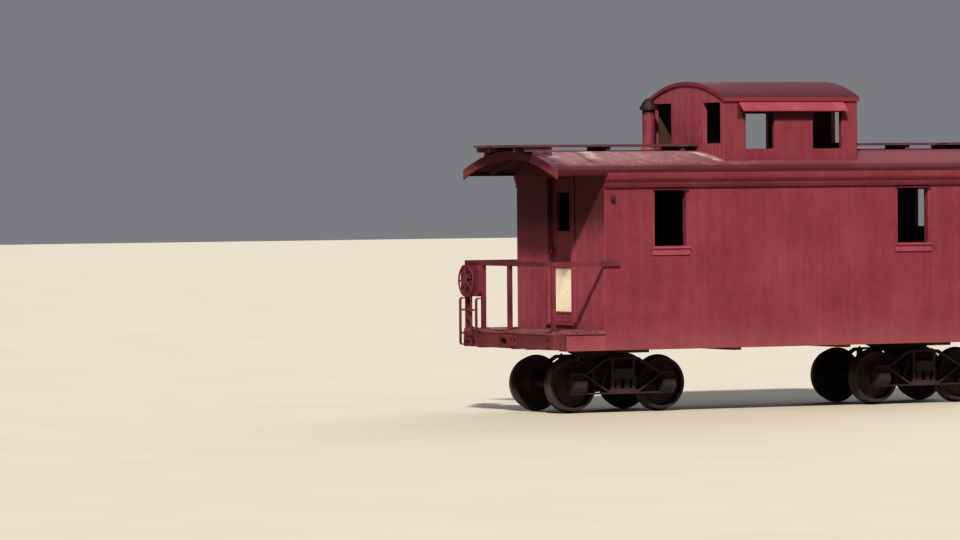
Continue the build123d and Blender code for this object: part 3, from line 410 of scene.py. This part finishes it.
def roof_paint(name, shades, rim, eave, crown, redder, streaked):
    """Chalky paint on a covered roof, palest on the crown and redder towards the eaves and one end.
    rim is the colour of its upright edges, and a painted shade darkens what lies further out than eave.
    crown is half the width of the pale part, and redder is how much further the red end reaches.
    streaked adds the streaks that run down the near slope."""
    paint = Finish(name)
    clouds = paint.noise(1.3, detail=4.0)
    mottle = paint.noise(7.0, detail=6.0, rough=0.7)
    runs = paint.noise(1.6, stretch=(6.0, 0.6, 0.6), detail=4.0)
    across = paint.y.size() + (runs - 0.5) * 0.5 + (mottle - 0.5) * 0.3
    along = (paint.x + clouds * 1.2 - 0.6 + redder).over(-1.6, 1.0)
    coat = paint.mix(shades[0], shades[1], (across.over(crown, crown + 0.45) + along * 0.9).clamp())
    coat = paint.mix(coat, shades[2], (across.over(crown + 0.4, crown + 0.8) + along * 0.8).clamp())
    coat = paint.mix(coat, shades[0], mottle.over(0.60, 0.78) * (1 - along) * 0.4)
    if streaked:
        coat = paint.mix(coat, pale_paint, (mottle + runs * 0.5).over(0.72, 0.98) * (1 - along) * 0.3)
        for line in dark_streak_lines:
            coat = paint.mix(coat, streak_dark, slope_streak(paint, line, runs) * mottle.over(0.25, 0.6) * 0.85)
        for line in pale_lines:
            streak = slope_streak(paint, line, runs)
            coat = paint.mix(coat, pale_paint, streak * mottle.over(0.3, 0.6) * 0.8)
    facing = paint.node("ShaderNodeNewGeometry", out="Normal")
    upward = Wire(paint, paint.node("ShaderNodeSeparateXYZ", {}, {0: facing}, out=None).outputs["Z"])
    # Painted shade: the covering darkens along the eave, upright faces take the rim colour and downward
    # faces the underside's painted shade.
    outer = (paint.y.size() + runs * 0.02).over(eave - 0.12, eave + 0.02)
    coat = paint.mix(coat, eave_shade, outer * 0.85)
    coat = paint.mix(coat, rim, 1 - upward.over(0.3, 0.6))
    coat = paint.mix(roof_underside_shade, coat, upward.over(-0.3, -0.1))
    paint.colour(coat)
    paint.roughness(0.78 + mottle * 0.15)
    return paint.bump(mottle * 0.6 + runs * 0.4, 0.004)


# On the main roof the rim is painted shade; on the cupola it is the body's red.
main_roof_paint = roof_paint("roof_paint", (chalk, roof_rose, roof_red), rim=eave_shade, eave=1.165,
                             crown=0.72, redder=0.3, streaked=True)
cupola_shades = (tone(140, 92, 102), tone(112, 60, 74), tone(88, 42, 56))
cupola_roof_paint = roof_paint("cupola_roof_paint", cupola_shades, rim=red, eave=0.95,
                               crown=0.3, redder=0.5, streaked=False)
print("streaks", len(dark_streak_lines) + len(pale_lines))

# %% [markdown]
# Weathered planks
#
# Shoes have worn the paint off the platforms and the roof walk, so grey and rosy wood shows
# through, most of all along the edges. Long thin noise along the grain gives the cracks.

# %% Plank wood
plank_width = 0.134
walk_board_width = 0.19


def plank_wood(name, along, paint_left, shades):
    """Bare and half-bare planks. along is the grain's axis, and paint_left the share that is still red."""
    wood = Finish(name)
    thin = [1.0, 1.0, 1.0]
    thin[along] = 0.06
    wear = wood.noise(3.0, detail=5.0, rough=0.6)
    grain = wood.noise(60.0, stretch=thin, detail=4.0)
    cracks = wood.noise(34.0, stretch=thin, detail=2.0).over(0.62, 0.70)
    across = wood.x / plank_width if along == Y else wood.y / walk_board_width
    plank = wood.chance(across.floor())
    coat = wood.mix(shades[0], shades[1], (grain * 0.7 + plank * 0.5 - 0.1).clamp())
    coat = wood.mix(coat, red_pale, (1 - (wear + grain * 0.3).over(paint_left, paint_left + 0.25)) * 0.85)
    coat = wood.mix(coat, shades[2], cracks * 0.8)
    wood.colour(coat)
    wood.roughness(0.8 + grain * 0.12)
    return wood.bump(grain * 0.5 + wear * 0.2 - cracks * 0.6, 0.003)


rosy_wood = (tone(112, 66, 70), tone(146, 92, 94), tone(60, 34, 38))
grey_wood = (tone(82, 54, 64), tone(120, 84, 90), tone(44, 30, 36))
deck_wood = plank_wood("deck_wood", along=Y, paint_left=0.40, shades=rosy_wood)
walk_wood = plank_wood("walk_wood", along=X, paint_left=0.40, shades=grey_wood)
print("planks shaded", deck_wood.name, walk_wood.name)

# %% [markdown]
# Iron: painted, black and worn bright
#
# Rails, ladders and hand brakes are red iron whose paint has gone to rust in small spots.
# The trucks are black with brown dust, and a wheel's tread is rubbed bright by the rail.
# The tread is found by its distance from the axle, so each wheelset gets its own axle place.

# %% Red iron
soot_black = tone(30, 24, 26)


def red_iron(name, shades, sooty_above=None):
    """Red paint on iron, with rust spots; above one height it may be black with soot."""
    iron = Finish(name)
    clouds = iron.noise(3.0, detail=3.0)
    spots = iron.noise(40.0, detail=6.0, rough=0.7)
    coat = iron.mix(shades[0], shades[1], clouds.over(0.35, 0.65))
    rust = spots.over(0.60, 0.68)
    coat = iron.mix(coat, shades[2], rust * 0.8)
    if sooty_above:
        soot = (iron.z + clouds * 0.16 - 0.08).over(sooty_above - 0.05, sooty_above + 0.03)
        coat = iron.mix(coat, soot_black, soot * 0.92)
    iron.colour(coat)
    iron.roughness(0.5 + spots * 0.3)
    return iron.bump(spots * 0.6 + rust * 0.4, 0.0008)


iron_shades = (tone(94, 40, 54), tone(118, 52, 66), tone(78, 46, 44))
jack_shades = (tone(118, 56, 70), tone(140, 68, 82), tone(92, 58, 58))
rail_paint = red_iron("railing_paint", iron_shades)
jack_paint = red_iron("jack_paint", jack_shades, sooty_above=3.76)
casting_paint = red_iron("casting_paint", (tone(88, 36, 40), tone(122, 58, 60), tone(70, 40, 34)))
lamp_paint = red_iron("lamp_bracket_paint", (tone(58, 24, 36), tone(80, 36, 50), tone(54, 30, 30)))
print("red iron", rail_paint.name, jack_paint.name, casting_paint.name, lamp_paint.name)

# %% Black iron
axle_height = 0.355
tread_from, tread_to = (0.3235, 0.3255), (0.3325, 0.336)
oily_black, worn_black = tone(52, 43, 45), tone(66, 51, 48)
brown_dust = tone(104, 78, 66)
bright_tread = tone(118, 110, 112)


def black_iron(name, axle_x=None, dusty=0.4):
    """Oily black iron with brown dust; with an axle's place, the wheel tread is bright."""
    iron = Finish(name)
    clouds = iron.noise(5.0, detail=4.0)
    grit = iron.noise(55.0, detail=6.0, rough=0.75)
    coat = iron.mix(oily_black, worn_black, clouds.over(0.35, 0.7))
    coat = iron.mix(coat, brown_dust, (grit * 0.7 + clouds * 0.5).over(0.62, 0.86) * dusty)
    rough = 0.55 + grit * 0.3
    if axle_x is not None:
        off_x = iron.x - axle_x
        off_z = iron.z - axle_height
        radius = (off_x * off_x + off_z * off_z).root()
        tread = radius.over(*tread_from) * (1 - radius.over(*tread_to))
        coat = iron.mix(coat, bright_tread, tread * grit.over(0.25, 0.5) * 0.75)
        rough = rough - tread * 0.25
        iron.link("Metallic", tread * 0.7)
    iron.colour(coat)
    iron.roughness(rough)
    return iron.bump(grit * 0.8 + clouds * 0.2, 0.0012)


truck_iron = black_iron("truck_iron")
stove_iron = black_iron("stove_iron", dusty=0.1)
axle_places = {"wheelset_1": -2.8425, "wheelset_2": -1.5775, "wheelset_3": 1.5775, "wheelset_4": 2.8425}
wheel_iron = {name: black_iron(name + "_iron", axle_x=place) for name, place in axle_places.items()}
print("wheel finishes", len(wheel_iron))

# %% [markdown]
# Cream and brown paint
#
# The doors' lower panels are cream, chipped to the wood. The cabin's lockers have a dull brown coat.

# %% Cream and cabin paint
def chipped_paint(name, main, worn, under):
    """A house paint with soft dirt and sharp chips."""
    paint = Finish(name)
    dirt = paint.noise(4.0, detail=4.0)
    chips = paint.noise(22.0, detail=6.0, rough=0.7)
    chipped = chips.over(0.62, 0.66)
    coat = paint.mix(main, worn, dirt.over(0.4, 0.75) * 0.8)
    coat = paint.mix(coat, under, chipped * 0.8)
    paint.colour(coat)
    paint.roughness(0.55 + dirt * 0.2)
    return paint.bump(dirt * 0.2 - chipped * 0.8, 0.001)


cream = chipped_paint("cream_paint", tone(246, 240, 216), tone(226, 208, 174), tone(120, 84, 70))
cabin = chipped_paint("cabin_paint", tone(112, 96, 78), tone(84, 70, 56), tone(60, 48, 40))
print("house paints", cream.name, cabin.name)

# %% [markdown]
# Floor of the studio
#
# The floor's own finish is plain, with only a faint cloudiness so that it doesn't look like paper.

# %% Floor finish
sand = Finish("studio_floor")
sand.shader.inputs["Roughness"].default_value = 0.9
sand.colour(sand.mix(tone(208, 201, 188), tone(198, 190, 175), sand.noise(0.5, detail=3.0)))
studio_floor.data.materials.append(sand.material)

# %% [markdown]
# Dressing the solid model
#
# Every solid keeps its shape and only takes a finish. One short table says which finish goes with
# which name, and where two of its names fit a solid, the longer one counts.

# %% Finishes for the solids
dressing = {
    "side_wall": side_boards, "cupola_side": cupola_boards, "end_wall": end_boards,
    "cupola_end": cupola_end_boards, "door_panel": cream, "door": end_boards,
    "letterboards": letterboard_painted_shade, "eave_fascias": eave_timber,
    "window_trim": window_timber, "cupola_hoods": painted_light_timber, "side_sills": skirt_timber,
    "roof_end": cross_timber, "end_sill": sill_paint, "center_sills": under_paint,
    "needle_beams": under_paint, "roof_walk": walk_wood, "cupola_roof": cupola_roof_paint,
    "roof": main_roof_paint, "floor_deck": deck_wood, "railing": rail_paint, "ladder": rail_paint,
    "hand_brake": rail_paint, "drawbar_pocket": casting_paint, "lamp_brackets": lamp_paint,
    "stove": stove_iron, "smoke_jack": jack_paint, "locker": cabin, "truck": truck_iron,
    "body_bolsters": truck_iron, "brake_cylinder": truck_iron, "air_reservoir": truck_iron, **wheel_iron}
for name, node in nodes.items():
    kind = max((key for key in dressing if name.startswith(key)), key=len)
    node.data.materials.clear()
    node.data.materials.append(dressing[kind])
print("dressed", len(nodes), "solids")

# %% [markdown]
# Boards, one by one
#
# A tongue-and-groove wall could be a striped bump pattern, but a bump has no depth where the wall
# meets the sky or a window. So each board is a real thin plank: a cube stretched to the board's
# length, with its two outer edges bevelled into half a groove. Boards beside each other then
# leave a true V between them. Where a wall ends under an arched roof, the boards' ends follow it.

# %% Helpers for boards and pieces
def plank(mesh, low, high):
    """One closed board between two corners."""
    centre = [(a + b) / 2 for a, b in zip(low, high)]
    size = [b - a for a, b in zip(low, high)]
    matrix = Matrix.Translation(centre) @ Matrix.Diagonal((*size, 1))
    return bmesh.ops.create_cube(mesh, size=1, matrix=matrix)["verts"]


def ease(mesh, edges, width, segments=1):
    """Bevels these edges."""
    bmesh.ops.bevel(mesh, geom=edges, offset=width, offset_type="OFFSET", segments=segments,
                    profile=0.5, affect="EDGES", material=-1)


def piece(mesh, name, finish, body="carbody"):
    """Makes a finished mesh an object that rides on a body."""
    data = bpy.data.meshes.new(name)
    bmesh.ops.recalc_face_normals(mesh, faces=mesh.faces)
    mesh.to_mesh(data)
    mesh.free()
    data.materials.append(finish)
    made = bpy.data.objects.new(name, data)
    scene.collection.objects.link(made)
    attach(made, body)
    print(name, len(data.polygons), "faces")
    return made


# %% Siding
board_depth = 0.0035
board_root = 0.001
groove = 0.003
rounding = 1e-6
same_place = 1e-5


def siding(name, axis, face, out, bays, finish):
    """Upright boards on one wall, out from its face. axis is the one that the wall runs along.
    Each bay is (start, end, low, high), where low and high are numbers or curves."""
    mesh = bmesh.new()
    first = wall_start[axis]
    outer = face + out * board_depth
    for start, end, low, high in bays:
        count = math.floor((start - first) / board_pitch + rounding) + 1
        marks = [start]
        while first + count * board_pitch < end - rounding:
            marks.append(first + count * board_pitch)
            count += 1
        marks.append(end)
        for left, right in zip(marks, marks[1:]):
            if right - left < 3 * groove:
                continue
            depth = sorted((face - out * board_root, outer))
            corners = [(left, depth[0]), (right, depth[1])]
            if axis == Y:
                corners = [(across, along) for along, across in corners]
            verts = plank(mesh, (*corners[0], 0.0), (*corners[1], 1.0))
            for vert in verts:
                edge = high if vert.co.z > 0.5 else low
                vert.co.z = edge(vert.co[axis]) if callable(edge) else edge
    eased = [edge for edge in mesh.edges
             if all(abs(vert.co[1 - axis] - outer) < same_place for vert in edge.verts)
             and abs(edge.verts[0].co[axis] - edge.verts[1].co[axis]) < same_place]
    ease(mesh, eased, groove)
    return piece(mesh, name, finish)


def bays_round(ends, heights, places, half, sill, head=None):
    """The bays of a wall with windows: full ones beside each window, and short ones under and over it."""
    bays = []
    start = ends[0]
    for place in places:
        left, right = place - half, place + half
        bays.append((start, left, *heights))
        bays.append((left, right, heights[0], sill))
        if head:
            bays.append((left, right, head, heights[1]))
        start = right
    return [*bays, (start, ends[1], *heights)]


def arch(radius, centre, clearance):
    """A height for each place across the car, under or over an arched roof."""
    return lambda y: math.sqrt(radius ** 2 - y ** 2) + centre + clearance


# %% Body siding, where the letterboard closes each window's top
wall_heights = (0.796, 2.813)
window_places = (-1.772, 1.772)
window_half = 0.2255
under_window = 1.967
for side, hand in (("near", -1), ("far", 1)):
    bays = bays_round((-wall_end, wall_end), wall_heights, window_places, window_half, under_window)
    siding(f"siding_{side}", X, hand * wall_half, hand, bays, side_boards)

# %% End siding, up to the roof's arch
roof_centre, roof_inner, roof_outer = -0.0483, 3.2833, 3.3233
over_floor = 1.046
under_roof = arch(roof_inner, roof_centre, clearance=-0.003)
door_edge = 0.387
casing_top = 3.017
for end, way in (("left", -1), ("right", 1)):
    bays = [(-wall_half, -door_edge, over_floor, under_roof),
            (-door_edge, door_edge, casing_top, under_roof),
            (door_edge, wall_half, over_floor, under_roof)]
    siding(f"siding_{end}", Y, way * wall_end, way, bays, end_boards)

# %% Cupola siding
cupola_ends = (-0.872, 1.072)
cupola_half = 0.94
cupola_roof_centre, cupola_roof_inner = 1.81779, 2.27621
side_heights = (3.141, 3.852)
end_heights = (arch(roof_outer, roof_centre, clearance=0.002),
               arch(cupola_roof_inner, cupola_roof_centre, clearance=-0.003))
side_places, end_places = (-0.353, 0.632), (-0.622, 0.622)
for side, hand in (("near", -1), ("far", 1)):
    bays = bays_round(cupola_ends, side_heights, side_places, half=0.2105, sill=3.2825, head=3.7425)
    siding(f"cupola_siding_{side}", X, hand * cupola_half, hand, bays, cupola_boards)
for end, way, face in (("left", -1, cupola_ends[0]), ("right", 1, cupola_ends[1])):
    bays = bays_round((-cupola_half, cupola_half), end_heights, end_places, half=0.2155,
                      sill=3.3545, head=3.8675)
    siding(f"cupola_siding_{end}", Y, face, way, bays, cupola_end_boards)

# %% [markdown]
# The moulding under the eaves
#
# A curved moulding closes the corner between the eave and the letterboard, so that the sunlight
# fades softly down to the boards. The solid under it is a plain strip, because a moulding is trim.
# A curve with a bevel could make it too, but one outline of a few points, filled and drawn out
# along the car, stays a closed mesh with square ends.

# %% Eave mouldings
moulding_outline = ((1.162, 2.966), (1.232, 2.963), (1.231, 2.944), (1.224, 2.922), (1.211, 2.903),
                    (1.195, 2.888), (1.182, 2.874), (1.174, 2.858), (1.172, 2.846), (1.162, 2.846))
length = Vector((2 * wall_end, 0, 0))
for side, hand in (("near", -1), ("far", 1)):
    mesh = bmesh.new()
    outline = [mesh.verts.new((-wall_end, hand * y, z)) for y, z in moulding_outline]
    drawn = bmesh.ops.extrude_face_region(mesh, geom=[mesh.faces.new(outline)])["geom"]
    moved = [part for part in drawn if isinstance(part, bmesh.types.BMVert)]
    bmesh.ops.translate(mesh, verts=moved, vec=length)
    piece(mesh, f"eave_moulding_{side}", long_timber)

# %% [markdown]
# Deck planks
#
# The solid deck is one slab. The real one is planks laid across the car with narrow gaps, and
# the ends of the platform's planks stand a little unevenly over the sill. They replace the slab.

# %% Deck planks
deck_low, deck_high = 1.0, 1.045
deck_end, deck_half = 3.482, 1.161
cabin_deck_half = 1.053
plank_gap = 0.004
narrowest_plank = 0.02
uneven_ends, uneven_top = 0.004, 0.001
worn_edge = 0.004
mesh = bmesh.new()
chance = random.Random(7)
for way in (-1, 1):
    place = wall_end
    while place < deck_end - narrowest_plank:
        stop = min(place + plank_width, deck_end)
        xs = sorted((way * (place + plank_gap / 2), way * (stop - plank_gap / 2)))
        reach = [deck_half - chance.uniform(0, uneven_ends) for _ in range(2)]
        top = deck_high - chance.uniform(0, uneven_top)
        plank(mesh, (xs[0], -reach[0], deck_low), (xs[1], reach[1], top))
        place += plank_width
place = -wall_end
while place < wall_end - narrowest_plank:
    stop = min(place + plank_width, wall_end)
    plank(mesh, (place + plank_gap / 2, -cabin_deck_half, deck_low),
          (stop - plank_gap / 2, cabin_deck_half, deck_high))
    place += plank_width
worn = [edge for edge in mesh.edges if all(vert.co.z > deck_high - worn_edge for vert in edge.verts)]
ease(mesh, worn, worn_edge, segments=2)
deck_planks = piece(mesh, "deck_planks", deck_wood)
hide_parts("floor_deck")

# %% [markdown]
# Bolts and nuts
#
# Hexagon nuts on square washers hold the end sills. Smaller nuts hold the drawbar pockets, the
# railings' feet, the covers of the hand brakes and the arch bars. A cone with six sides is a nut,
# and a thinner one with eight sides is the bolt's end that stands out of it, so one helper makes
# them all.

# %% Bolts of the end sills and of the drawbar pockets
nut_root = 0.001


def nut(mesh, place, axis, size, washer=False):
    """A hexagon nut on its bolt, standing out of a face along one axis, and its washer if it has one."""
    turn = Vector((0, 0, 1)).rotation_difference(Vector(axis)).to_matrix().to_4x4()
    stand = Matrix.Translation(place) @ turn
    layers = [(6, size, size * 0.8), (8, size * 0.5, size * 1.25)]
    if washer:
        layers.append((4, size * 1.9, size * 0.25))
    for sides, radius, height in layers:
        lift = Matrix.Translation((0, 0, height / 2 - nut_root))
        bmesh.ops.create_cone(mesh, cap_ends=True, segments=sides, radius1=radius, radius2=radius * 0.94,
                              depth=height, matrix=stand @ lift)


sill_face, pocket_face = 3.472, 3.486
sill_nut, pocket_nut = 0.019, 0.011
sill_bolts = [(y, z) for y in (-1.066, -0.195, 0.195, 1.066) for z in (0.865, 0.95)]
pocket_bolts = [(y, z) for y in (-0.114, 0.114) for z in (0.862, 0.952)]
for end, way in (("left", -1), ("right", 1)):
    mesh = bmesh.new()
    for y, z in sill_bolts:
        nut(mesh, (way * sill_face, y, z), (way, 0, 0), sill_nut, washer=True)
    for y, z in pocket_bolts:
        nut(mesh, (way * pocket_face, y, z), (way, 0, 0), pocket_nut)
    piece(mesh, f"end_sill_bolts_{end}", casting_paint)

# %% Bolts of the railings' feet and of the brakes' covers
foot_x, foot_top = 3.393, 1.055
foot_places = (-1.116, 0.0, 1.116)
brake_post = 0.704
foot_bolts = (-0.027, 0.027)
foot_nut, cover_nut = 0.009, 0.010
cover_face = 3.521
brake_y, brake_height = 0.92, 1.645
cover_bolts = [(y, z) for y in (-0.215, 0.215) for z in (-0.125, 0.0, 0.125)]
cover_bolts += [(0.0, -0.17), (0.0, 0.17)]
for end, way in (("left", -1), ("right", 1)):
    mesh = bmesh.new()
    for foot in (*foot_places, -way * brake_post):
        for step in foot_bolts:
            nut(mesh, (way * foot_x, foot + step, foot_top), (0, 0, 1), foot_nut)
    for y, z in cover_bolts:
        nut(mesh, (way * cover_face, -way * brake_y + y, brake_height + z), (way, 0, 0), cover_nut)
    piece(mesh, f"railing_bolts_{end}", rail_paint)

# %% Arch bar nuts
truck_middle = 2.21
side_frame_y = 0.648
box_places, box_bolts = (-0.6325, 0.6325), (-0.07, 0.07)
column_bolts = (-0.149, 0.149)
over_box, over_column, under_tie = 0.505, 0.692, 0.235
frame_nut = 0.016
for end, way in (("left", -1), ("right", 1)):
    mesh = bmesh.new()
    for hand in (-1, 1):
        y = hand * side_frame_y
        bolts = [(box + step, over_box) for box in box_places for step in box_bolts]
        bolts += [(step, over_column) for step in column_bolts]
        for along, top in bolts:
            nut(mesh, (way * truck_middle + along, y, top), (0, 0, 1), frame_nut)
            nut(mesh, (way * truck_middle + along, y, under_tie), (0, 0, -1), frame_nut)
    piece(mesh, f"truck_nuts_{end}", truck_iron, body=f"truck_{end}")
